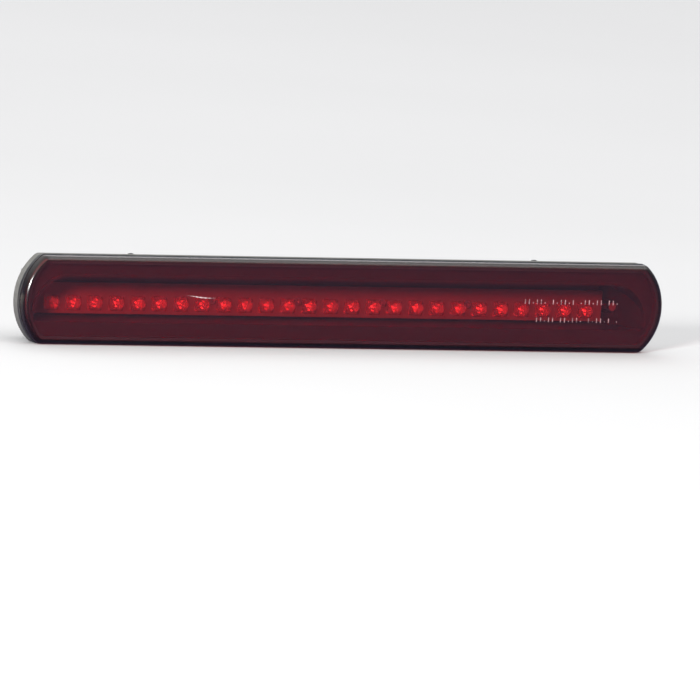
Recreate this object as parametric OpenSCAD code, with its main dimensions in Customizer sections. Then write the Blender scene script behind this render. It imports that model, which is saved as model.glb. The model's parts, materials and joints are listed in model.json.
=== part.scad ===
// Surface-mounted third brake light for a truck cap, 26 LEDs behind a dark red lens.
// The lamp faces -Y, its length runs along X and +Z is up.
// The origin is the middle of the face that seats on the vehicle panel, at y = 0.

/* [Lens] */
// Length of the lens
lens_l = 380; // [376:1:392]
// Height of the lens
lens_h = 45; // [44:0.5:50]
// Depth of the lens tray, front face to back edge
lens_depth = 5.6; // [5:0.1:12]
// Thickness of the lens walls and front
lens_wall = 2.4; // [1.6:0.1:2.8]
// Radius of the two curved ends
end_r = 28; // [25.5:0.5:40]
// Radius where a curved end meets a long edge
corner_r = 4; // [3.6:0.1:6]
// Rounding along the front edge
edge_r = 3; // [1:0.1:3.4]
// Thickness of the adhesive line between lens and housing
bond_t = 0.4; // [0.2:0.1:1]

/* [Housing] */
// Thickness of the flange behind the lens
flange_t = 2; // [1.6:0.1:4]
// Length of the recess that holds the board
recess_l = 364; // [362:1:366]
// Height of the recess
recess_h = 22.8; // [22:0.2:22.8]
// Radius of the recess's two upper corners
recess_top_r = 19.6; // [16:0.2:20]
// Thickness of the recess walls and floor
tray_wall = 2; // [1.5:0.1:2.1]
// Width of the raised rim round the recess
rim_w = 1.5; // [1:0.1:2]
// Height of the raised rim round the recess
rim_t = 0.7; // [0.3:0.1:1]
// How far each end wall of the recess leans inwards, from rim to floor
end_lean = 11.6; // [8:0.1:11.8]

/* [Panel] */
// Thickness of the foam gasket
gasket_t = 4; // [2:0.5:6]
// Thickness of the panel that the lamp is clamped on
panel_t = 5; // [3:0.5:8]

/* [Board and LEDs] */
// Number of LEDs
led_count = 26; // [22:2:26]
// Distance between LEDs
led_pitch = 12.7; // [12:0.1:12.7]
// Side of an LED's square base
led_side = 7.6; // [6:0.2:7.8]
// Diameter of an LED's dome
led_dome_d = 5.6; // [4.6:0.2:5.8]
// Length of the board
board_l = 340; // [336:1:340]
// Height of the board
board_h = 15.6; // [15:0.2:16.6]
// Thickness of the board
board_t = 1.6; // [1:0.1:2]

/* [Mounting] */
// Distance between mounting studs along the lamp
stud_gap_x = 240; // [200:1:300]
// Distance between mounting studs across the lamp
stud_gap_z = 36; // [35.8:0.1:36.4]
// Diameter of a mounting stud's plain shank
stud_d = 4; // [3:0.5:4]
// Length of stud behind the gasket
stud_out = 16; // [12:1:20]

/* [Hidden] */
$fn = 48;
eps = 0.01;

// Planes along Y, from the panel face forwards and then backwards
flange_back_y = -gasket_t;
flange_front_y = flange_back_y - flange_t;
lens_back_y = flange_front_y - bond_t;
lens_front_y = lens_back_y - lens_depth;
board_front_y = 17;
board_back_y = board_front_y + board_t;
floor_y = board_back_y + 3;
tray_back_y = floor_y + tray_wall;

// Recess outline
recess_bottom_r = recess_h - recess_top_r;
recess_arc_z = recess_h / 2 - recess_top_r;

// LEDs
board_z = -2.3;
led_z = -4.3;
led_base_y = board_front_y - 0.8;
led_step_y = led_base_y - 2.8;
led_dome_y = led_step_y - 1.2;
frame_y = led_base_y - 1.6;
frame_t = 0.4;
cup_d = 2.4;
cup_h = 0.8;
lead_gap = 5.08;
lead_w = 0.5;
lead_end_y = board_back_y + 0.7;
LEDS = [for (i = [0 : led_count - 1]) (i - (led_count - 1) / 2) * led_pitch];

// Board fasteners stand between groups of four LEDs
group = 4;
board_screw_d = 2;
BOARD_SCREWS = [for (g = [2 : 5]) (g * group - led_count / 2) * led_pitch];

// Mounting hardware; threads are plain rods of their pitch diameter
stud_root_d = stud_d + 0.6;
stud_thread_d = stud_d - 0.45;
stud_head_d = 5.4;
stud_head_t = 1.2;
stud_head_y = flange_front_y + 0.9;
stud_boss_d = 7;
stud_boss_end_y = flange_back_y + 3;
washer_t = 0.8;
washer_d = 8.8;
nut_af = 7;
nut_t = 3.2;
washer_y = panel_t;
nut_y = washer_y + washer_t;

// Connector inlet, behind an LED
inlet_x = BOARD_SCREWS[1] + 2.5 * led_pitch;
inlet_w = 16;
inlet_h = 11;
inlet_d = 15;
inlet_wall = 1.6;
ear_w = 32;
ear_t = 2;
seal_t = 0.8;
seal_y = tray_back_y;
shell_y = seal_y + seal_t;
blade_gap = 8.4;
blade_w = 2.8;
blade_t = 0.8;
blade_end_y = shell_y + 11;
ear_screw_gap = 25;
ear_screw_d = 2.2;

// Breather, at one end of the recess
vent_x = 173.4;
vent_z = -1.9;
vent_d = 4.2;
vent_boss_d = 6.4;
vent_front_y = 12;
vent_back_y = tray_back_y;
vent_head_d = 7;
vent_head_t = 1.6;

// A solid between two planes along Y, from an outline drawn in X and Z
module slab(y0, y1) {
    translate([0, y1, 0])
        rotate([90, 0, 0])
            linear_extrude(height = y1 - y0)
                children();
}

// A straight round rod along Y, in the X, Z place given
module rod(x, z, d, y0, y1) {
    translate([x, y1, z])
        rotate([90, 0, 0])
            cylinder(d = d, h = y1 - y0);
}

// A block given by its middle in X and Z, its size, and two planes along Y
module block(x, z, w, h, y0, y1) {
    translate([x - w / 2, y0, z - h / 2])
        cube([w, y1 - y0, h]);
}

// The lamp's outline: long straight edges, arc ends and small tangent corners
module lamp_outline(inset = 0) {
    half_h = lens_h / 2 - inset;
    big_r = end_r - inset;
    small_r = max(corner_r - inset, 0.4);
    big_x = lens_l / 2 - end_r;
    reach = sqrt((big_r - small_r) * (big_r - small_r) - (half_h - small_r) * (half_h - small_r));
    corner_x = big_x + reach;
    corner_z = half_h - small_r;
    square([2 * corner_x, 2 * half_h], center = true);
    for (side = [-1, 1]) {
        for (up = [-1, 1])
            translate([side * corner_x, up * corner_z])
                circle(r = small_r);
        translate([side * big_x, 0])
            intersection() {
                circle(r = big_r, $fn = 96);
                polygon([[0, 0], [side * reach * 3, corner_z * 3], [side * reach * 3, -corner_z * 3]]);
            }
    }
}

// The recess's outline: large upper corners, small lower corners
module recess_outline(grow = 0) {
    top_x = recess_l / 2 - recess_top_r;
    bottom_x = recess_l / 2 - recess_bottom_r;
    half_h = recess_h / 2 + grow;
    translate([-top_x, recess_arc_z])
        square([2 * top_x, half_h - recess_arc_z]);
    translate([-bottom_x, -half_h])
        square([2 * bottom_x, half_h + recess_arc_z]);
    for (side = [-1, 1]) {
        intersection() {
            translate([side * top_x, recess_arc_z])
                circle(r = recess_top_r + grow, $fn = 96);
            translate([side > 0 ? top_x : -top_x - 2 * recess_top_r, recess_arc_z])
                square([2 * recess_top_r, 2 * recess_top_r]);
        }
        intersection() {
            translate([side * bottom_x, recess_arc_z])
                circle(r = recess_bottom_r + grow);
            translate([side > 0 ? bottom_x : -bottom_x - 2 * recess_top_r, -2 * recess_top_r + recess_arc_z])
                square([2 * recess_top_r, 2 * recess_top_r]);
        }
    }
}

// Everything between two end walls that lean inwards, drawn for the outside or the inside
module between_ends(half_l, front_y, back_y) {
    lean = end_lean * (back_y - front_y) / (floor_y - flange_front_y);
    translate([0, 0, -lens_h])
        linear_extrude(height = 2 * lens_h)
            polygon([
                [-half_l, front_y - eps],
                [half_l, front_y - eps],
                [half_l - lean, back_y],
                [lean - half_l, back_y]
            ]);
}

// Places its children at every mounting stud
module at_studs() {
    for (x = [-stud_gap_x / 2, stud_gap_x / 2])
        for (z = [-stud_gap_z / 2, stud_gap_z / 2])
            translate([x, 0, z])
                children();
}

// Transparent tray with a flat front, a rounded front edge and straight walls
module outer_lens() {
    steps = 6;
    color([0.45, 0.02, 0.04, 0.8])
        difference() {
            hull() {
                slab(lens_front_y + edge_r, lens_back_y)
                    lamp_outline();
                for (k = [0 : steps - 1])
                    slab(lens_front_y + edge_r * (1 - cos(90 * k / steps)), lens_back_y)
                        lamp_outline(edge_r * (1 - sin(90 * k / steps)));
            }
            slab(lens_front_y + lens_wall, lens_back_y + 1)
                lamp_outline(lens_wall);
        }
}

// Ring of adhesive under the lens wall, squeezed out a little at the seam
module lens_bond() {
    squeeze = 0.3;
    color([0.1, 0.1, 0.1])
        difference() {
            slab(lens_back_y, flange_front_y)
                lamp_outline(-squeeze);
            slab(lens_back_y - 1, flange_front_y + 1)
                lamp_outline(lens_wall);
        }
}

// Everything the housing adds in plastic
module housing_solids() {
    locating_rib = lens_wall + 0.2;
    rib_w = 1.4;
    rib_h = lens_depth - lens_wall + bond_t - 0.1;
    slab(flange_front_y, flange_back_y)
        lamp_outline();
    intersection() {
        slab(flange_back_y - eps, tray_back_y)
            recess_outline(tray_wall);
        between_ends(recess_l / 2 + tray_wall, flange_back_y - eps, tray_back_y);
    }
    difference() {
        slab(flange_front_y - rib_h, flange_front_y + eps)
            lamp_outline(locating_rib);
        slab(flange_front_y - rib_h - 1, flange_front_y + 1)
            lamp_outline(locating_rib + rib_w);
    }
    slab(flange_front_y - rim_t, flange_front_y + eps)
        recess_outline(rim_w);
}

// Ribs across the outside of the tray floor
module housing_back_ribs() {
    rib_pitch = 3 * led_pitch;
    rib_t = 1.4;
    rib_out = 1.2;
    for (k = [-4 : 4])
        if (abs(k * rib_pitch - inlet_x) > ear_w / 2 + rib_t)
            block(k * rib_pitch, 0, rib_t, recess_h - 4, tray_back_y - eps, tray_back_y + rib_out);
}

// Black tray: flange, raised rim, recess with leaning ends, bosses and board posts
module housing() {
    color([0.06, 0.06, 0.065])
        difference() {
            union() {
                difference() {
                    housing_solids();
                    intersection() {
                        slab(flange_front_y - rim_t - 1, floor_y)
                            recess_outline();
                        between_ends(recess_l / 2, flange_front_y, floor_y);
                    }
                    slab(flange_front_y - rim_t - 1, flange_front_y)
                        recess_outline();
                }
                housing_back_ribs();
                rod(vent_x, vent_z, vent_boss_d, vent_front_y, vent_back_y);
                at_studs()
                    rod(0, 0, stud_boss_d, flange_back_y - eps, stud_boss_end_y);
                for (x = BOARD_SCREWS)
                    rod(x, board_z, 5, board_back_y, floor_y + eps);
                for (x = [-ear_screw_gap / 2, ear_screw_gap / 2])
                    rod(inlet_x + x, 0, 5.4, floor_y - 2, floor_y + eps);
            }
            rod(vent_x, vent_z, vent_d, -flange_t, vent_back_y + 1);
            at_studs() {
                rod(0, 0, stud_head_d, stud_head_y, stud_head_y + stud_head_t);
                rod(0, 0, stud_root_d, stud_head_y, stud_boss_end_y + 1);
            }
            for (x = BOARD_SCREWS)
                rod(x, board_z, board_screw_d, board_back_y - 1, floor_y + 0.8);
            for (x = [-ear_screw_gap / 2, ear_screw_gap / 2])
                rod(inlet_x + x, 0, ear_screw_d, floor_y - 1.6, tray_back_y + 1);
            for (x = [-blade_gap / 2, blade_gap / 2])
                block(inlet_x + x, 0, blade_t + 0.6, blade_w + 0.6, floor_y - 1, tray_back_y + 1);
        }
}

// Foam ring between the flange and the panel
module mounting_gasket() {
    clear = 0.3;
    color([0.5, 0.5, 0.48])
        difference() {
            slab(flange_back_y, 0)
                lamp_outline();
            slab(flange_back_y - 1, 1)
                recess_outline(tray_wall + clear);
            at_studs()
                rod(0, 0, stud_boss_d + 0.4, flange_back_y - 1, 1);
        }
}

// Square holes for the LED leads, one group of four under each LED
module lead_places() {
    for (x = LEDS)
        for (dx = [-lead_gap / 2, lead_gap / 2])
            for (dz = [-lead_gap / 2, lead_gap / 2])
                translate([x + dx, 0, led_z + dz])
                    children();
}

// Circuit board with lead holes, screw holes and slots for the terminal tails
module led_board() {
    hole = lead_w + 0.12;
    color([0.78, 0.75, 0.66])
        difference() {
            block(0, board_z, board_l, board_h, board_front_y, board_back_y);
            lead_places()
                block(0, 0, hole, hole, board_front_y - 1, board_back_y + 1);
            for (x = BOARD_SCREWS)
                rod(x, board_z, board_screw_d + 0.3, board_front_y - 1, board_back_y + 1);
            for (x = [-blade_gap / 2, blade_gap / 2])
                block(inlet_x + x, 0, blade_t, blade_w, board_front_y + 0.6, board_back_y + 1);
        }
}

// One LED's cathode side: plate, reflector cup and two leads
module cathode_frame() {
    color([0.8, 0.78, 0.74]) {
        difference() {
            union() {
                block(-1.8, 0, 2.4, 6.4, frame_y, frame_y + frame_t);
                rod(0, 0, cup_d, frame_y - cup_h, frame_y + frame_t);
            }
            translate([0, frame_y, 0])
                rotate([90, 0, 0])
                    cylinder(d1 = cup_d * 0.4, d2 = cup_d * 0.84, h = cup_h + eps);
        }
        for (dz = [-lead_gap / 2, lead_gap / 2])
            block(-lead_gap / 2, dz, lead_w, lead_w, frame_y + frame_t, lead_end_y);
    }
}

// One LED's anode side: plate and two leads
module anode_frame() {
    color([0.8, 0.78, 0.74]) {
        block(2.25, 0, 1.5, 6.4, frame_y, frame_y + frame_t);
        for (dz = [-lead_gap / 2, lead_gap / 2])
            block(lead_gap / 2, dz, lead_w, lead_w, frame_y + frame_t, lead_end_y);
    }
}

// One LED's light-emitting chip, at the bottom of the cup
module chip() {
    color([0.9, 0.75, 0.3])
        block(0, 0, 0.4, 0.4, frame_y - 0.25, frame_y);
}

// One LED's clear body: square base with a cut corner, and a dome
module led_body() {
    color([0.85, 0.1, 0.08])
        difference() {
            union() {
                block(0, 0, led_side, led_side, led_step_y, led_base_y);
                rod(0, 0, led_dome_d, led_dome_y, led_step_y + eps);
                translate([0, led_dome_y, 0])
                    sphere(d = led_dome_d);
            }
            translate([led_side / 2, 0, led_side / 2])
                rotate([0, 45, 0])
                    cube([1.6, 100, 1.6], center = true);
            cathode_frame();
            anode_frame();
            chip();
        }
}

// Places its children at every LED
module at_leds() {
    for (x = LEDS)
        translate([x, 0, led_z])
            children();
}

module led_bodies() {
    at_leds()
        led_body();
}

module led_cathode_frames() {
    at_leds()
        cathode_frame();
}

module led_anode_frames() {
    at_leds()
        anode_frame();
}

module led_chips() {
    at_leds()
        chip();
}

// Cone of solder round each lead on the back of the board
module solder_joints() {
    color([0.75, 0.76, 0.77])
        lead_places()
            difference() {
                translate([0, board_back_y, 0])
                    rotate([-90, 0, 0])
                        cylinder(d1 = 1.9, d2 = 1, h = 0.6);
                block(0, 0, lead_w, lead_w, board_back_y - 1, board_back_y + 1);
            }
}

// A rectangular component soldered flat on the back of the board
module flat_part(x, z, w, h, t) {
    block(x, z, w, h, board_back_y, board_back_y + t);
}

// One chip resistor for each group of LEDs
module series_resistors() {
    color([0.1, 0.1, 0.11])
        for (g = [0 : ceil(led_count / group) - 1])
            flat_part(LEDS[0] + (g * group + 0.5) * led_pitch, board_z + 0.4, 5, 2.5, 0.6);
}

// Diode that blocks a reversed supply
module polarity_diode() {
    color([0.12, 0.12, 0.12])
        flat_part(BOARD_SCREWS[2] + 2 * led_pitch, board_z, 4.6, 2.6, 2.2);
}

// Suppressor that absorbs supply spikes
module surge_suppressor() {
    color([0.16, 0.16, 0.16])
        flat_part(BOARD_SCREWS[1] - led_pitch, board_z, 4.6, 3.6, 2.3);
}

// Pan-head screws that hold the board on its posts
module board_screws() {
    head_d = 3.6;
    head_t = 1.3;
    color([0.7, 0.7, 0.68])
        for (x = BOARD_SCREWS)
            difference() {
                union() {
                    rod(x, board_z, head_d, board_front_y - head_t, board_front_y);
                    rod(x, board_z, board_screw_d, board_front_y - eps, floor_y + 0.4);
                }
                block(x, board_z, head_d * 0.55, 0.5, board_front_y - head_t - 1, board_front_y - 0.6);
                block(x, board_z, 0.5, head_d * 0.55, board_front_y - head_t - 1, board_front_y - 0.6);
            }
}

// Studs with flat heads moulded into the flange, a plain shank through the panel and a threaded end
module mounting_studs() {
    color([0.7, 0.7, 0.68])
        at_studs() {
            rod(0, 0, stud_head_d, stud_head_y, stud_head_y + stud_head_t);
            rod(0, 0, stud_root_d, stud_head_y, stud_boss_end_y);
            rod(0, 0, stud_d, stud_head_y, washer_y);
            rod(0, 0, stud_thread_d, stud_head_y, stud_out);
        }
}

// Flat washers that bear on the inside of the panel
module stud_washers() {
    color([0.75, 0.75, 0.74])
        at_studs()
            difference() {
                rod(0, 0, washer_d, washer_y, nut_y);
                rod(0, 0, stud_d + 0.3, washer_y - 1, nut_y + 1);
            }
}

// Hexagon nuts
module stud_nuts() {
    color([0.75, 0.75, 0.72])
        at_studs()
            difference() {
                translate([0, nut_y + nut_t, 0])
                    rotate([90, 0, 0])
                        cylinder(d = nut_af / cos(30), h = nut_t, $fn = 6);
                rod(0, 0, stud_thread_d, nut_y - 1, nut_y + nut_t + 1);
            }
}

// Two-way inlet: a box open to the back on a plate with two ears
module connector_shell() {
    socket_w = inlet_w - 2 * inlet_wall;
    socket_h = inlet_h - 2 * inlet_wall;
    color([0.09, 0.09, 0.1])
        difference() {
            union() {
                block(inlet_x, 0, ear_w, inlet_h + 2, shell_y, shell_y + ear_t);
                block(inlet_x, 0, inlet_w, inlet_h, shell_y, shell_y + inlet_d);
                block(inlet_x, inlet_h / 2 + 0.7, 5, 1.5, shell_y + 6, shell_y + 8);
            }
            block(inlet_x, 0, socket_w, socket_h, shell_y + ear_t, shell_y + inlet_d + 1);
            for (x = [-blade_gap / 2, blade_gap / 2])
                block(inlet_x + x, 0, blade_t, blade_w, shell_y - 1, shell_y + ear_t + 1);
            for (x = [-ear_screw_gap / 2, ear_screw_gap / 2])
                rod(inlet_x + x, 0, ear_screw_d + 0.4, shell_y - 1, shell_y + ear_t + 1);
        }
}

// Rubber ring under the inlet's plate
module connector_seal() {
    color([0.75, 0.3, 0.12])
        difference() {
            block(inlet_x, 0, ear_w, inlet_h + 2, seal_y, shell_y);
            block(inlet_x, 0, 12, 7, seal_y - 1, shell_y + 1);
            for (x = [-ear_screw_gap / 2, ear_screw_gap / 2])
                rod(inlet_x + x, 0, ear_screw_d + 0.4, seal_y - 1, shell_y + 1);
        }
}

// Screws through the inlet's ears
module connector_screws() {
    head_d = 4.2;
    head_t = 1.6;
    head_y = shell_y + ear_t;
    color([0.72, 0.72, 0.7])
        for (x = [inlet_x - ear_screw_gap / 2, inlet_x + ear_screw_gap / 2])
            difference() {
                union() {
                    rod(x, 0, head_d, head_y, head_y + head_t);
                    rod(x, 0, ear_screw_d, floor_y - 1.2, head_y + eps);
                }
                block(x, 0, head_d * 0.55, 0.6, head_y + head_t - 0.8, head_y + head_t + 1);
                block(x, 0, 0.6, head_d * 0.55, head_y + head_t - 0.8, head_y + head_t + 1);
            }
}

// Blades that run from the board, through the floor, into the inlet
module terminal_blades() {
    color([0.85, 0.72, 0.4])
        for (x = [-blade_gap / 2, blade_gap / 2])
            block(inlet_x + x, 0, blade_t, blade_w, board_front_y + 0.6, blade_end_y);
}

// Resin that seals the blades inside the ring
module terminal_potting() {
    color([0.1, 0.09, 0.08])
        difference() {
            block(inlet_x, 0, 12, 7, seal_y, shell_y);
            for (x = [-blade_gap / 2, blade_gap / 2])
                block(inlet_x + x, 0, blade_t, blade_w, seal_y - 1, shell_y + 1);
        }
}

// Porous plug that lets the lamp breathe but keeps water out
module breather_plug() {
    color([0.85, 0.85, 0.83]) {
        rod(vent_x, vent_z, vent_d, vent_front_y, vent_back_y + eps);
        rod(vent_x, vent_z, vent_head_d, vent_back_y, vent_back_y + vent_head_t);
    }
}

outer_lens();
lens_bond();
housing();
mounting_gasket();
led_board();
led_bodies();
led_cathode_frames();
led_anode_frames();
led_chips();
solder_joints();
series_resistors();
polarity_diode();
surge_suppressor();
board_screws();
mounting_studs();
stud_washers();
stud_nuts();
connector_shell();
connector_seal();
connector_screws();
terminal_blades();
terminal_potting();
breather_plug();
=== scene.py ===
"""Third brake light: fine meshes, materials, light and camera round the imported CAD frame."""
import json
import math

import bmesh
import bpy
from mathutils import Matrix, Vector


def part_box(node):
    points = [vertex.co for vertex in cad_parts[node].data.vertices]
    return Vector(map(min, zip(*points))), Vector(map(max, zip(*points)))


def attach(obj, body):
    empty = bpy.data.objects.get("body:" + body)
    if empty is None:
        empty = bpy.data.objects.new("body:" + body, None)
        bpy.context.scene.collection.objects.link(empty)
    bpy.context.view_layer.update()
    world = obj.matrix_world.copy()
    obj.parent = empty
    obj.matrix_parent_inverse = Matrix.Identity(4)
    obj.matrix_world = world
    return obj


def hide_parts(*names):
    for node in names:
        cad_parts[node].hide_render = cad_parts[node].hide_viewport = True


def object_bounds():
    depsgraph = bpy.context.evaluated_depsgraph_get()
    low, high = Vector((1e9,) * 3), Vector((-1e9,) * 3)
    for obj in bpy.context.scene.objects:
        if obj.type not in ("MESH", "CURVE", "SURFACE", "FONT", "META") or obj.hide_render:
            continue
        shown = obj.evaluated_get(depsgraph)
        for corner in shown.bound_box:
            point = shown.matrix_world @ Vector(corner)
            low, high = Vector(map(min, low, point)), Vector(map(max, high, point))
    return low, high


MM = 0.001
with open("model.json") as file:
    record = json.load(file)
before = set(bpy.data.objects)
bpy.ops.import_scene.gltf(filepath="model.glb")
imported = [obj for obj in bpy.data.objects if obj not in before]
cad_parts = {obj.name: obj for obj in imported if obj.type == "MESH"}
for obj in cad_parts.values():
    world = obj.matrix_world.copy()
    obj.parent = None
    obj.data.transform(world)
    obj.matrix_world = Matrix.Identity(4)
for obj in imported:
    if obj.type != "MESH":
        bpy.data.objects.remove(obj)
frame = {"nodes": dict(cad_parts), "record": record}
nodes = frame["nodes"]
cad_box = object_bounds()


# ---------------------------------------------------------------- node trees

class Graph:
    """A material's node tree, built by short calls. Object coordinates are metres in the row frame."""

    def __init__(self, name):
        self.material = bpy.data.materials.new(name)
        self.material.use_nodes = True
        self.tree = self.material.node_tree
        self.tree.nodes.clear()
        self.output = self.add("OutputMaterial")
        self.where = self.add("TexCoord").outputs["Object"]

    def add(self, kind, inputs=None, **settings):
        """Adds a shader node; inputs are values or the sockets of other nodes."""
        node = self.tree.nodes.new("ShaderNode" + kind)
        for key, value in settings.items():
            setattr(node, key, value)
        for key, value in (inputs or {}).items():
            self.feed(node.inputs[key], value)
        return node

    def feed(self, socket, value):
        if isinstance(value, bpy.types.NodeSocket):
            self.tree.links.new(value, socket)
        elif socket.type == "RGBA" and len(value) == 3:
            socket.default_value = (*value, 1)
        else:
            socket.default_value = value

    def noise(self, size, detail=3, rough=0.55, stretch=(1, 1, 1)):
        """Noise from 0 to 1 whose features are about size across, in metres."""
        scaled = self.add("Mapping", {"Vector": self.where, "Scale": stretch})
        return self.add(
            "TexNoise",
            {"Vector": scaled.outputs[0], "Scale": 1 / size, "Detail": detail, "Roughness": rough},
        ).outputs["Fac"]

    def ramp(self, value, low, high, start=0.0, end=1.0):
        """value from low..high to start..end, held outside that range."""
        return self.add(
            "MapRange",
            {"Value": value, "From Min": low, "From Max": high, "To Min": start, "To Max": end},
        ).outputs[0]

    def blend(self, share, first, second):
        """A colour between two colours."""
        return self.add(
            "Mix", {0: share, 6: first, 7: second}, data_type="RGBA"
        ).outputs[2]

    def maths(self, operation, first, second=0.0):
        return self.add("Math", {0: first, 1: second}, operation=operation).outputs[0]

    def bump(self, height, depth, strength=1.0):
        """Normals from a height of 0..1 that stands for depth metres."""
        node = self.add("Bump", {"Height": height, "Distance": depth, "Strength": strength})
        return node.outputs[0]

    def finish(self, shader):
        self.tree.links.new(shader.outputs[0], self.output.inputs["Surface"])
        return self.material


TARNISH = (0.7, 0.66, 0.6)


def moulded(name, colour, rough=0.45, grain=0.0006):
    """Moulded plastic: fine grain and faint flow marks."""
    g = Graph(name)
    flow = g.noise(0.03, 3, 0.6)
    fine = g.noise(grain, 2, 0.6)
    dark = [c * 0.8 for c in colour]
    light = [c * 1.25 + 0.002 for c in colour]
    shader = g.add(
        "BsdfPrincipled",
        {
            "Base Color": g.blend(flow, dark, light),
            "Roughness": g.ramp(flow, 0.3, 0.7, rough - 0.06, rough + 0.08),
            "Specular IOR Level": 0.5,
            "Normal": g.bump(fine, 0.00002),
        },
    )
    return g.finish(shader)


def metal(name, colour, rough=0.3):
    """Plated metal: fine tool marks and patches of duller plating."""
    g = Graph(name)
    patches = g.ramp(g.noise(0.004, 4, 0.65), 0.5, 0.72)
    marks = g.noise(0.0003, 2, 0.5)
    dulled = [c * share for c, share in zip(colour, TARNISH)]
    shader = g.add(
        "BsdfPrincipled",
        {
            "Base Color": g.blend(patches, colour, dulled),
            "Metallic": 1.0,
            "Roughness": g.ramp(patches, 0, 1, rough, rough + 0.2),
            "Normal": g.bump(marks, 0.000006),
        },
    )
    return g.finish(shader)


# ---------------------------------------------------------------- materials

LENS_TINT = (0.74, 0.14, 0.155)
# Painted shade: the lens's edge and walls get a much darker tint than its front
RIM_SHADE_TINT = (0.16, 0.006, 0.008)
LED_TINT = (0.95, 0.4, 0.36)
ACRYLIC_IOR = 1.49
EPOXY_IOR = 1.6


def clear_red(g, tint, ior, rough, normal, transmission=1.0, specular=0.5):
    """Finishes a graph as clear red plastic that lets light through on its way to what it covers."""
    glass = g.add(
        "BsdfPrincipled",
        {
            "Base Color": tint,
            "IOR": ior,
            "Transmission Weight": transmission,
            "Roughness": rough,
            "Specular IOR Level": specular,
            "Normal": normal,
        },
    )
    path = g.add("LightPath")
    through = g.add("BsdfTransparent", {"Color": [c ** 0.5 for c in tint]})
    bare = g.maths("MAXIMUM", path.outputs["Is Shadow Ray"], path.outputs["Is Diffuse Ray"])
    return g.finish(g.add("MixShader", {0: bare, 1: glass.outputs[0], 2: through.outputs[0]}))


def lens_front():
    """Clear dark red acrylic of the lens's flat front: faint haze and fine scratches."""
    g = Graph("lens_front")
    haze = g.ramp(g.noise(0.02, 4, 0.6), 0.35, 0.7, 0.012, 0.04)
    scratches = g.bump(g.noise(0.0008, 2, 0.5, (0.06, 1, 1)), 0.000002)
    return clear_red(g, LENS_TINT, ACRYLIC_IOR, haze, scratches)


def lens_rim():
    """The same acrylic round the lens's edge and walls: hazy, and tinted far darker than its front, which
    is painted shade.
    """
    g = Graph("lens_rim")
    haze = g.ramp(g.noise(0.01, 4, 0.6), 0.35, 0.7, 0.14, 0.26)
    grime = g.bump(g.noise(0.0012, 3, 0.6), 0.000012)
    return clear_red(g, RIM_SHADE_TINT, ACRYLIC_IOR, haze, grime, specular=0.25)


def mark_acrylic():
    """Moulded marks on the lens, frosted; their pale colour, varied in patches like wear, is partly a
    painted highlight for the glints off them.
    """
    g = Graph("mark_acrylic")
    wear_and_glint = g.ramp(g.noise(0.002, 4, 0.7), 0.35, 0.65)
    shader = g.add(
        "BsdfPrincipled",
        {
            # Partly painted highlight: the pale colour stands in for glints off the marks
            "Base Color": g.blend(wear_and_glint, (0.05, 0.018, 0.02), (0.42, 0.22, 0.22)),
            "Roughness": 0.45,
            "Normal": g.bump(g.noise(0.0004, 2), 0.00002),
        },
    )
    return g.finish(shader)


def scuff():
    """Chalky paint rubbed off on the lens."""
    g = Graph("scuff")
    patches = g.ramp(g.noise(0.0008, 4, 0.7), 0.35, 0.65)
    shader = g.add(
        "BsdfPrincipled",
        {
            "Base Color": g.blend(patches, (0.22, 0.1, 0.1), (0.6, 0.5, 0.47)),
            "Roughness": 0.9,
            "Normal": g.bump(patches, 0.00002),
        },
    )
    return g.finish(shader)


def led_epoxy(name, transmission):
    """Red casting resin with a rippled surface; what it doesn't transmit makes it milky. The milky share is
    partly a painted brightening for light that the resin focuses.
    """
    g = Graph(name)
    ripple = g.bump(g.noise(0.0008, 2), 0.000009)
    return clear_red(g, LED_TINT, EPOXY_IOR, 0.04, ripple, transmission, specular=1.0)


def board_face():
    """Beige solder mask, a little stained, with tracks that only just show under it."""
    g = Graph("board_face")
    tracks = g.add(
        "TexBrick",
        {
            "Vector": g.where,
            "Color1": (1, 1, 1),
            "Color2": (1, 1, 1),
            "Mortar": (0, 0, 0),
            "Scale": 1.0,
            "Brick Width": 0.0254,
            "Row Height": 0.0049,
            "Mortar Size": 0.0003,
            "Mortar Smooth": 0.6,
        },
        offset=0.37,
    ).outputs["Fac"]
    stain = g.noise(0.01, 4, 0.6)
    mask = g.blend(stain, (0.24, 0.22, 0.18), (0.17, 0.155, 0.13))
    faint = g.maths("MULTIPLY", tracks, 0.35)
    shader = g.add(
        "BsdfPrincipled",
        {
            "Base Color": g.blend(faint, mask, (0.12, 0.115, 0.09)),
            "Roughness": g.ramp(stain, 0.3, 0.7, 0.34, 0.46),
            "Normal": g.bump(tracks, 0.00002),
        },
    )
    return g.finish(shader)


def foam():
    """Closed-cell foam: grey, matt, with open cells along its cut edge."""
    g = Graph("gasket_foam")
    cells = g.add("TexVoronoi", {"Vector": g.where, "Scale": 1 / 0.0007}).outputs["Distance"]
    grime = g.ramp(g.noise(0.008, 5, 0.7), 0.4, 0.75)
    shader = g.add(
        "BsdfPrincipled",
        {
            "Base Color": g.blend(grime, (0.13, 0.13, 0.12), (0.08, 0.078, 0.07)),
            "Roughness": 0.9,
            "Specular IOR Level": 0.25,
            "Normal": g.bump(cells, 0.00025, 0.8),
        },
    )
    return g.finish(shader)


def adhesive():
    """Black sealing adhesive, lumpy, grey with dust where it has been squeezed out."""
    g = Graph("bond_adhesive")
    dirt = g.ramp(g.noise(0.006, 5, 0.7), 0.45, 0.8)
    shader = g.add(
        "BsdfPrincipled",
        {
            "Base Color": g.blend(dirt, (0.02, 0.02, 0.021), (0.09, 0.085, 0.08)),
            "Roughness": 0.55,
            "Normal": g.bump(g.noise(0.0015, 3), 0.0002, 0.7),
        },
    )
    return g.finish(shader)


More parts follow.
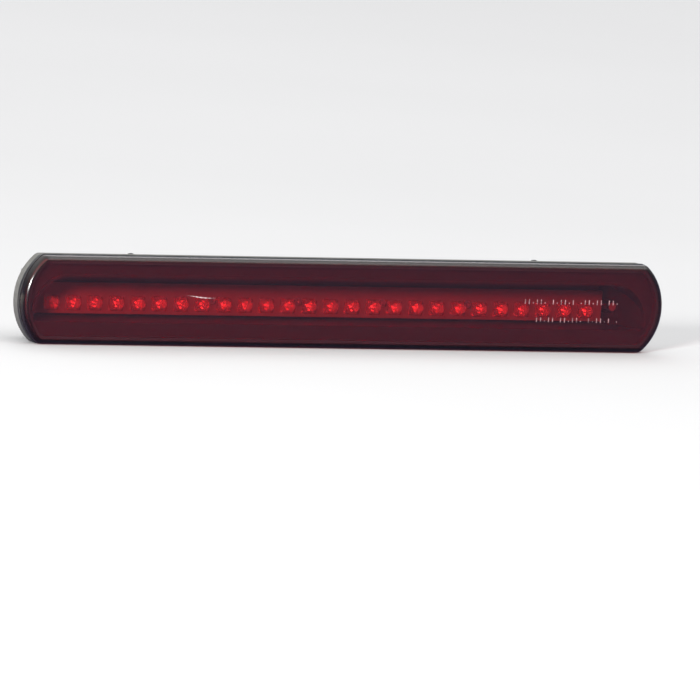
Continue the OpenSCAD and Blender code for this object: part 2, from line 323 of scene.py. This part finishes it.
def tray_abs():
    """Black plastic: matt on the front of the flange; behind it glossier and darker, which is painted shade
    for the recess behind the lens.
    """
    g = Graph("tray_abs")
    depth = g.add("SeparateXYZ", {0: g.where}).outputs["Y"]
    flange_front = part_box("lens_bond")[1].y
    border = g.ramp(depth, flange_front + 0.2 * MM, flange_front + 0.6 * MM, 1, 0)
    flow = g.noise(0.02, 4, 0.6)
    # Painted shade: every face behind the flange's front, the recess included, gets the darker tone below
    front_face_tone = g.blend(flow, (0.012, 0.012, 0.013), (0.02, 0.019, 0.021))
    bare = g.blend(flow, (0.005, 0.005, 0.006), (0.009, 0.009, 0.01))
    shader = g.add(
        "BsdfPrincipled",
        {
            "Base Color": g.blend(border, bare, front_face_tone),
            "Roughness": g.ramp(border, 0, 1, 0.35, 0.6),
            "Specular IOR Level": 0.5,
            "Normal": g.bump(g.noise(0.0005, 2, 0.6), 0.00002),
        },
    )
    return g.finish(shader)


def paint_nodes(material, *names):
    """Puts one material on CAD nodes."""
    for name in names:
        mesh = nodes[name].data
        mesh.materials.clear()
        mesh.materials.append(material)


# ---------------------------------------------------------------- meshes

END_R = 28 * MM
CORNER_R = 4 * MM
LEAST_CORNER_R = 0.4 * MM
EDGE_R = 3 * MM
LENS_WALL = 2.4 * MM
LENS_FILLET = 0.5 * MM
FLAT_NORMAL = 0.97
MARK_HEIGHT = 0.12 * MM


def lamp_outline(inset, arc_steps=40, corner_steps=8):
    """The lamp's outline in X and Z: straight long edges, arc ends, small tangent corners."""
    low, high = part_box("outer_lens")
    half_h = (high.z - low.z) / 2 - inset
    big_r = END_R - inset
    small_r = max(CORNER_R - inset, LEAST_CORNER_R)
    big_x = (high.x - low.x) / 2 - END_R
    corner_z = half_h - small_r
    reach = math.sqrt((big_r - small_r) ** 2 - corner_z ** 2)
    meet = math.atan2(corner_z, reach)
    side = []
    for k in range(arc_steps + 1):
        a = -meet + 2 * meet * k / arc_steps
        side.append((big_x + big_r * math.cos(a), big_r * math.sin(a)))
    for k in range(1, corner_steps + 1):
        a = meet + (math.pi / 2 - meet) * k / corner_steps
        side.append((big_x + reach + small_r * math.cos(a), corner_z + small_r * math.sin(a)))
    lower = [(x, -z) for x, z in side[arc_steps + 1:]][::-1]
    right = lower + side
    return right + [(-x, -z) for x, z in right]


def loft(name, profile):
    """A closed solid of loops that follow the lamp's outline; profile lists (inset, y) for each loop."""
    mesh = bmesh.new()
    loops = [
        [mesh.verts.new((x, y, z)) for x, z in lamp_outline(inset)] for inset, y in profile
    ]
    bridge(mesh, loops)
    return as_object(name, mesh)


def bridge(mesh, loops, closed=True):
    """Joins loops of vertices into a tube, with its two ends closed."""
    for first, second in zip(loops, loops[1:]):
        for k in range(len(first)):
            j = (k + 1) % len(first)
            mesh.faces.new((first[k], first[j], second[j], second[k]))
    if closed:
        mesh.faces.new(loops[0][::-1])
        mesh.faces.new(loops[-1])


def as_object(name, mesh, sharp_angle=35):
    """Turns a bmesh into a smooth-shaded object that keeps its sharp edges."""
    bmesh.ops.recalc_face_normals(mesh, faces=mesh.faces)
    for face in mesh.faces:
        face.smooth = True
    data = bpy.data.meshes.new(name)
    mesh.to_mesh(data)
    mesh.free()
    data.set_sharp_from_angle(angle=math.radians(sharp_angle))
    piece = bpy.data.objects.new(name, data)
    bpy.context.scene.collection.objects.link(piece)
    return piece


def place(piece, material, slot, *replaced):
    """Gives a new piece its material and body, and hides the CAD nodes that it stands for; slot is not
    used.
    """
    piece.data.materials.append(material)
    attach(piece, "root")
    if replaced:
        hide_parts(*replaced)
    return piece


def make_lens():
    """The lens: a tray with a flat front, a smooth rounded front edge and straight walls."""
    low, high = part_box("outer_lens")
    front, back = low.y + MARK_HEIGHT, high.y
    steps = 10
    flat_border = 0.4 * MM
    profile = [(EDGE_R + flat_border, front)]
    for k in range(steps + 1):
        t = math.pi / 2 * k / steps
        profile.append((EDGE_R * (1 - math.sin(t)), front + EDGE_R * (1 - math.cos(t))))
    inner = front + LENS_WALL
    profile += [
        (0, back),
        (LENS_WALL, back),
        (LENS_WALL, inner + LENS_FILLET),
        (LENS_WALL + 0.3 * LENS_FILLET, inner + 0.3 * LENS_FILLET),
        (LENS_WALL + LENS_FILLET, inner),
        (LENS_WALL + 2 * LENS_FILLET, inner),
    ]
    return loft("lens_moulding", profile)


def paint_rim(lens, material):
    """Gives the rim's material, the darker copy that paints shade, to every face of the lens that isn't
    parallel to its front.
    """
    lens.data.materials.append(material)
    for face in lens.data.polygons:
        if abs(face.normal.y) < FLAT_NORMAL:
            face.material_index = 1


# The rounded section of a mark: share of its width, and share of its height
MARK_SECTION = ((1, 0), (0.92, 0.55), (0.7, 0.9), (0.3, 1))


def capsule(mesh, x, z, width, height, base_y, rise, steps=14):
    """A small mark with round ends, standing up from base_y towards the viewer."""
    reach = (height - width) / 2
    loops = []
    for scale, up in MARK_SECTION:
        loop = []
        for k in range(steps):
            a = 2 * math.pi * (k + 0.5) / steps
            r = width / 2 * scale
            shift = reach if math.sin(a) > 0 else -reach
            place_x, place_z = x + r * math.cos(a), z + shift + r * math.sin(a)
            loop.append(mesh.verts.new((place_x, base_y - rise * up, place_z)))
        loops.append(loop)
    bridge(mesh, loops)


# Rows of marks, in millimetres: each row's Z, and its start and end from the lens's right end
MARK_ROWS = ((3.1, -86, -26), (-6.1, -76, -25.5))
MARK_PITCH = 2.4
MARK_WIDTH = 0.6
MARK_TALL, MARK_SHORT = 2.5, 0.75
MARK_DROP = 0.5


def make_lens_marks():
    """Two rows of plain moulded pips near the lens's right end, with no lettering."""
    low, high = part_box("outer_lens")
    base_y = low.y + MARK_HEIGHT
    rise = MARK_HEIGHT * 0.9
    mesh = bmesh.new()
    for row, (row_z, first, last) in enumerate(MARK_ROWS):
        for k in range(int((last - first) / MARK_PITCH)):
            left_out = (k * 5 + row * 3) % 7 == 0
            if left_out:
                continue
            is_tall = (k + row) % 3 > 0
            height = MARK_TALL if is_tall else MARK_SHORT
            z = row_z if is_tall else row_z - MARK_DROP
            x = high.x + (first + MARK_PITCH * k) * MM
            capsule(mesh, x, z * MM, MARK_WIDTH * MM, height * MM, base_y, rise)
    return as_object("lens_marks", mesh, 60)


SCUFF_START_X = -95 * MM
SCUFF_END_X = -78 * MM
SCUFF_START_Z = 3.6 * MM
SCUFF_SAG = 1.3 * MM
SCUFF_RISE = 0.09 * MM
SCUFF_LEAST = 0.04 * MM
SCUFF_SPREAD = 0.34 * MM


def make_scuff():
    """A thin pale scuff that something left across the lens's front: a low, uneven ridge."""
    base_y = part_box("outer_lens")[0].y + MARK_HEIGHT
    steps, across = 48, 6
    mesh = bmesh.new()
    loops = []
    for k in range(steps + 1):
        t = k / steps
        x = SCUFF_START_X + (SCUFF_END_X - SCUFF_START_X) * t
        z = SCUFF_START_Z - SCUFF_SAG * math.sin(math.pi * t * 0.62)
        ragged = 0.75 + 0.25 * math.sin(41 * t)
        half = SCUFF_LEAST + SCUFF_SPREAD * math.sin(math.pi * t) ** 2 * ragged
        loop = []
        for j in range(across + 1):
            a = math.pi * j / across
            y = base_y - SCUFF_RISE * math.sin(a)
            loop.append(mesh.verts.new((x, y, z + half * math.cos(a))))
        loops.append(loop)
    bridge(mesh, loops)
    return as_object("lens_scuff", mesh, 80)


LED_COUNT = 26
DOME_R = 2.8 * MM
DOME_STEPS = 10
DOME_END_DEGREES = 84
STEP_DEPTH = 2.8 * MM
LED_CUT = 1.13 * MM
BASE_SQUARENESS = 14

# The base's rounded edges: share of its size, and distance in from its back or front, in millimetres
BASE_BACK_EDGE = ((0.96, 0), (0.995, 0.12), (1, 0.3))
BASE_FRONT_EDGE = ((1, 0.3), (0.985, 0.09), (0.95, 0))

# The bead on the base, from its foot in to the dome's neck: radius and height, in millimetres
BEAD = (
    (3.65, 0), (3.6, 0.2), (3.45, 0.36), (3.25, 0.42),
    (3.05, 0.36), (2.9, 0.2), (2.82, 0.06), (2.8, 0.3),
)


def ring(mesh, centre, y, radius_at, steps=56):
    """A closed loop of vertices round centre (x, z) at y; radius_at gives the radius at an angle."""
    loop = []
    for k in range(steps):
        a = 2 * math.pi * k / steps
        r = radius_at(a)
        loop.append(mesh.verts.new((centre[0] + r * math.cos(a), y, centre[1] + r * math.sin(a))))
    return loop


def paint_domes(leds, material):
    """Gives the bead and dome of each LED their own material; the square base keeps the first one. The
    dome's is milkier, a painted highlight for the bright ring round each dome.
    """
    leds.data.materials.append(material)
    step_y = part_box("led_bodies")[1].y - STEP_DEPTH
    for face in leds.data.polygons:
        if face.center.y < step_y - 0.01 * MM:
            face.material_index = 1


def led_places():
    """The middle of each LED in X, their common Z, and half the side of a base."""
    low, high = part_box("led_bodies")
    half = (high.z - low.z) / 2
    first, last = low.x + half, high.x - half
    xs = [first + (last - first) * k / (LED_COUNT - 1) for k in range(LED_COUNT)]
    return xs, (low.z + high.z) / 2, half


def led_base(half, scale):
    """A base's radius at an angle, at a share of its size: a rounded square with one corner cut off."""
    cut = 2 * half - LED_CUT

    def radius(a):
        c, s = abs(math.cos(a)), abs(math.sin(a))
        square = half * scale / (c ** BASE_SQUARENESS + s ** BASE_SQUARENESS) ** (1 / BASE_SQUARENESS)
        across = math.cos(a) + math.sin(a)
        return min(square, cut * scale / across) if across > 0 else square

    return radius


def make_leds():
    """Solid resin bodies: a square base, a round bead on it, a short neck and a dome."""
    xs, z, half = led_places()
    low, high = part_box("led_bodies")
    front, back = low.y, high.y
    step_y = back - STEP_DEPTH
    dome_y = front + DOME_R
    edges = [(scale, back - inset * MM) for scale, inset in BASE_BACK_EDGE]
    edges += [(scale, step_y + inset * MM) for scale, inset in BASE_FRONT_EDGE]
    turned = [(r * MM, step_y - y * MM) for r, y in BEAD]
    for k in range(DOME_STEPS + 1):
        t = math.radians(DOME_END_DEGREES * k / DOME_STEPS)
        turned.append((DOME_R * math.cos(t), dome_y - DOME_R * math.sin(t)))
    mesh = bmesh.new()
    for x in xs:
        loops = [ring(mesh, (x, z), y, led_base(half, scale)) for scale, y in edges]
        loops += [ring(mesh, (x, z), y, lambda a, r=r: r) for r, y in turned]
        bridge(mesh, loops)
    return as_object("led_resin", mesh, 50)


STUD_HEAD_R = 2.7 * MM
STUD_NECK_R = 2.3 * MM
STUD_R = 2 * MM
STUD_TIP_R = 1.25 * MM
THREAD_PITCH = 0.7 * MM
THREAD_R = 1.98 * MM
THREAD_ROOT_R = 1.62 * MM
NUT_CHAMFER = 0.56 * MM
NUT_BORE_R = 1.9 * MM
NUT_SINK_R = 2.15 * MM
NUT_SINK = 0.25 * MM
NUT_STEPS = 72


def stud_places():
    """The studs' places in X and Z, from the record's bolt pattern."""
    dims = next(m["dims"] for m in frame["record"]["mounts"] if m["name"] == "stud_pattern")
    half_x, half_z = dims["spacing_x_mm"] / 2 * MM, dims["spacing_y_mm"] / 2 * MM
    return [(x, z) for x in (-half_x, half_x) for z in (-half_z, half_z)]


def round_profile(mesh, centre, profile, steps=32):
    """A turned solid along Y; profile lists (radius, y)."""
    bridge(mesh, [ring(mesh, centre, y, lambda a, r=r: r, steps) for r, y in profile])


def make_studs():
    """Studs with a head and neck in the flange, a plain shank through the panel, and a thread behind it."""
    low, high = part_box("mounting_studs")
    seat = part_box("stud_washers")[0].y
    turns = int((high.y - seat - 0.8 * MM) / THREAD_PITCH)
    profile = [
        (STUD_HEAD_R - 0.2 * MM, low.y),
        (STUD_HEAD_R, low.y + 0.2 * MM),
        (STUD_HEAD_R, low.y + 1.2 * MM),
        (STUD_NECK_R, low.y + 1.25 * MM),
        (STUD_NECK_R, -1.1 * MM),
        (STUD_R, -1 * MM),
        (STUD_R, seat),
    ]
    for k in range(turns):
        y = seat + 0.1 * MM + k * THREAD_PITCH
        profile += [
            (THREAD_ROOT_R, y),
            (THREAD_R, y + 0.3 * THREAD_PITCH),
            (THREAD_R, y + 0.45 * THREAD_PITCH),
            (THREAD_ROOT_R, y + 0.75 * THREAD_PITCH),
        ]
    profile += [(THREAD_ROOT_R, high.y - 0.4 * MM), (STUD_TIP_R, high.y)]
    mesh = bmesh.new()
    for centre in stud_places():
        round_profile(mesh, centre, profile)
    return as_object("threaded_studs", mesh, 25)


def make_nuts():
    """Hexagon nuts with corners along X, chamfered front and back, with a countersunk bore."""
    low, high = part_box("stud_nuts")
    places = stud_places()
    flat = high.z - max(z for x, z in places)
    corner = flat / math.cos(math.pi / 6)

    def hexagon(limit):
        def radius(a):
            from_flat = a % (math.pi / 3) - math.pi / 6
            return min(flat / math.cos(from_flat), limit)

        return radius

    outside = [
        (flat * 0.97, low.y),
        (corner, low.y + NUT_CHAMFER),
        (corner, high.y - NUT_CHAMFER),
        (flat * 0.97, high.y),
    ]
    bore = [
        (NUT_SINK_R, high.y),
        (NUT_BORE_R, high.y - NUT_SINK),
        (NUT_BORE_R, low.y + NUT_SINK),
        (NUT_SINK_R, low.y),
    ]
    mesh = bmesh.new()
    for centre in places:
        loops = [ring(mesh, centre, y, hexagon(limit), NUT_STEPS) for limit, y in outside]
        loops += [ring(mesh, centre, y, lambda a, r=r: r, NUT_STEPS) for r, y in bore]
        bridge(mesh, loops + [loops[0]], closed=False)
    return as_object("hex_nuts", mesh, 25)


def soften_edges(name, width):
    """Rounds the moulded edges of a CAD node a little."""
    piece = nodes[name]
    weld = piece.modifiers.new("weld", "WELD")
    weld.merge_threshold = 0.002 * MM
    bevel = piece.modifiers.new("bevel", "BEVEL")
    bevel.width = width
    bevel.segments = 2
    bevel.limit_method = "ANGLE"
    bevel.angle_limit = math.radians(50)


# ---------------------------------------------------------------- stage, light and camera

VIEW_AZIMUTH = -32
VIEW_ELEVATION = 6.5
VIEW_ROLL = 4.9
CAMERA_DISTANCE = 15.0
FRAME_HEIGHT = 0.3542
AIM_RIGHT = 3.5 * MM
AIM_DOWN = 22.6 * MM
SENSOR = 36
LIGHT_DISTANCE = 3.0


def make_floor(size=6.0):
    """A pale floor under the lamp, clear from below. To every ray but the camera's it is painted dark in
    front of the lamp and bright behind it: a painted reflection in the lens, and painted shade where less
    light bounces up.
    """
    g = Graph("floor_pale")
    shade = g.noise(0.4, 2)
    pale = g.blend(shade, (0.43, 0.43, 0.425), (0.46, 0.46, 0.455))
    seen = g.add("LightPath").outputs["Is Camera Ray"]
    behind = g.ramp(g.add("SeparateXYZ", {0: g.where}).outputs["Y"], 0.0, 0.15)
    # Painted reflection and shade: dark in front of the lamp, bright behind it, for every ray but the
    # camera's
    painted_reflection_tone = g.blend(behind, (0.13, 0.105, 0.19), (0.75, 0.71, 0.64))
    paint = g.add("BsdfPrincipled", {"Base Color": g.blend(seen, painted_reflection_tone, pale), "Roughness": 0.8})
    below = g.add("NewGeometry").outputs["Backfacing"]
    clear = g.add("BsdfTransparent")
    mixed = g.add("MixShader", {0: below, 1: paint.outputs[0], 2: clear.outputs[0]})
    bpy.ops.mesh.primitive_plane_add(size=size, location=(0, 0, cad_box[0].z))
    floor = bpy.context.object
    floor.name = "floor"
    floor.data.materials.append(g.finish(mixed))


def make_world():
    """Pale all round for the camera; for everything else soft light that fades to the horizon."""
    world = bpy.data.worlds.new("studio")
    bpy.context.scene.world = world
    world.use_nodes = True
    tree = world.node_tree
    tree.nodes.clear()

    def add(kind, **settings):
        node = tree.nodes.new("ShaderNode" + kind)
        for key, value in settings.items():
            setattr(node, key, value)
        return node

    height = add("SeparateXYZ")
    tree.links.new(add("TexCoord").outputs["Generated"], height.inputs[0])
    ramp = add("ValToRGB")
    tree.links.new(height.outputs["Z"], ramp.inputs[0])
    ramp.color_ramp.elements[0].position = 0.0
    ramp.color_ramp.elements[0].color = (0.26, 0.27, 0.5, 1)
    ramp.color_ramp.elements[1].position = 0.75
    ramp.color_ramp.elements[1].color = (1.7, 1.7, 1.72, 1)
    middle = ramp.color_ramp.elements.new(0.25)
    middle.color = (0.5, 0.5, 0.56, 1)
    soft = add("Background")
    tree.links.new(ramp.outputs[0], soft.inputs["Color"])
    soft.inputs["Strength"].default_value = 0.9
    plain = add("Background")
    plain.inputs["Color"].default_value = (0.82, 0.82, 0.83, 1)
    mix = add("MixShader")
    tree.links.new(add("LightPath").outputs["Is Camera Ray"], mix.inputs[0])
    tree.links.new(soft.outputs[0], mix.inputs[1])
    tree.links.new(plain.outputs[0], mix.inputs[2])
    tree.links.new(mix.outputs[0], add("OutputWorld").inputs["Surface"])


def direction(azimuth, elevation):
    """The unit vector from the lamp towards azimuth, elevation; azimuth 0 is in front of it."""
    a, e = math.radians(azimuth), math.radians(elevation)
    return Vector((math.sin(a) * math.cos(e), -math.cos(a) * math.cos(e), math.sin(e)))


def make_light(name, azimuth, elevation, size, watts):
    """A square softbox that faces the lamp."""
    data = bpy.data.lights.new(name, "AREA")
    data.size = size
    data.energy = watts
    light = bpy.data.objects.new(name, data)
    bpy.context.scene.collection.objects.link(light)
    back = direction(azimuth, elevation)
    light.location = back * LIGHT_DISTANCE
    light.rotation_mode = "QUATERNION"
    light.rotation_quaternion = back.to_track_quat("Z", "Y")


def make_camera():
    """A long lens far away, at the left and a little above the lamp, which sits above the middle."""
    data = bpy.data.cameras.new("camera")
    data.sensor_width = SENSOR
    data.lens = SENSOR * CAMERA_DISTANCE / FRAME_HEIGHT
    data.clip_start, data.clip_end = 0.5, 30
    camera = bpy.data.objects.new("camera", data)
    bpy.context.scene.collection.objects.link(camera)
    back = direction(VIEW_AZIMUTH, VIEW_ELEVATION)
    right = Vector((-back.y, back.x, 0)).normalized()
    up = back.cross(right)
    face = Vector((0, cad_box[0].y, 0))
    aim = face + right * AIM_RIGHT - up * AIM_DOWN
    roll = math.radians(VIEW_ROLL)
    turned_right = right * math.cos(roll) + up * math.sin(roll)
    turned_up = back.cross(turned_right)
    axes = Matrix((turned_right, turned_up, back)).transposed()
    camera.matrix_world = Matrix.Translation(aim + back * CAMERA_DISTANCE) @ axes.to_4x4()
    bpy.context.scene.camera = camera


# ---------------------------------------------------------------- the lamp

make_camera()
make_world()
make_floor()
make_light("key", azimuth=-47, elevation=15.5, size=0.4, watts=165)
make_light("fill", azimuth=40, elevation=50, size=2.0, watts=20)
make_light("back", azimuth=150, elevation=50, size=2.0, watts=22)
bpy.context.scene.view_settings.view_transform = "Standard"

zinc = metal("zinc_plate", (0.62, 0.62, 0.6), 0.3)
paint_nodes(tray_abs(), "housing")
paint_nodes(adhesive(), "lens_bond")
paint_nodes(foam(), "mounting_gasket")
paint_nodes(board_face(), "led_board")
paint_nodes(metal("tinned_frame", (0.75, 0.74, 0.7), 0.22), "led_cathode_frames", "led_anode_frames")
paint_nodes(metal("gold_chip", (0.85, 0.62, 0.22), 0.25), "led_chips")
paint_nodes(metal("solder", (0.7, 0.71, 0.72), 0.25), "solder_joints")
paint_nodes(moulded("resistor_body", (0.03, 0.03, 0.032), 0.35), "series_resistors")
paint_nodes(
    moulded("component_body", (0.035, 0.035, 0.037), 0.5), "polarity_diode", "surge_suppressor"
)
paint_nodes(zinc, "board_screws", "stud_washers", "connector_screws")
paint_nodes(moulded("inlet_nylon", (0.03, 0.03, 0.033), 0.38), "connector_shell")
paint_nodes(moulded("seal_silicone", (0.55, 0.17, 0.05), 0.55), "connector_seal")
paint_nodes(metal("brass_blade", (0.78, 0.58, 0.24), 0.28), "terminal_blades")
paint_nodes(moulded("potting_resin", (0.022, 0.02, 0.018), 0.2), "terminal_potting")
paint_nodes(moulded("vent_plastic", (0.2, 0.19, 0.18), 0.7, 0.0003), "breather_plug")

lens = place(make_lens(), lens_front(), "lens", "outer_lens")
paint_rim(lens, lens_rim())
place(make_lens_marks(), mark_acrylic(), "lens")
place(make_scuff(), scuff(), "lens")
# Painted highlight in part: the resin's milky share brightens the LEDs, more on the domes than on the bases
leds = place(make_leds(), led_epoxy("led_base", 0.92), "led_epoxy", "led_bodies")
paint_domes(leds, led_epoxy("led_dome", 0.82))

place(make_studs(), zinc, "steel", "mounting_studs")
place(make_nuts(), zinc, "steel", "stud_nuts")
soften_edges("connector_shell", 0.25 * MM)
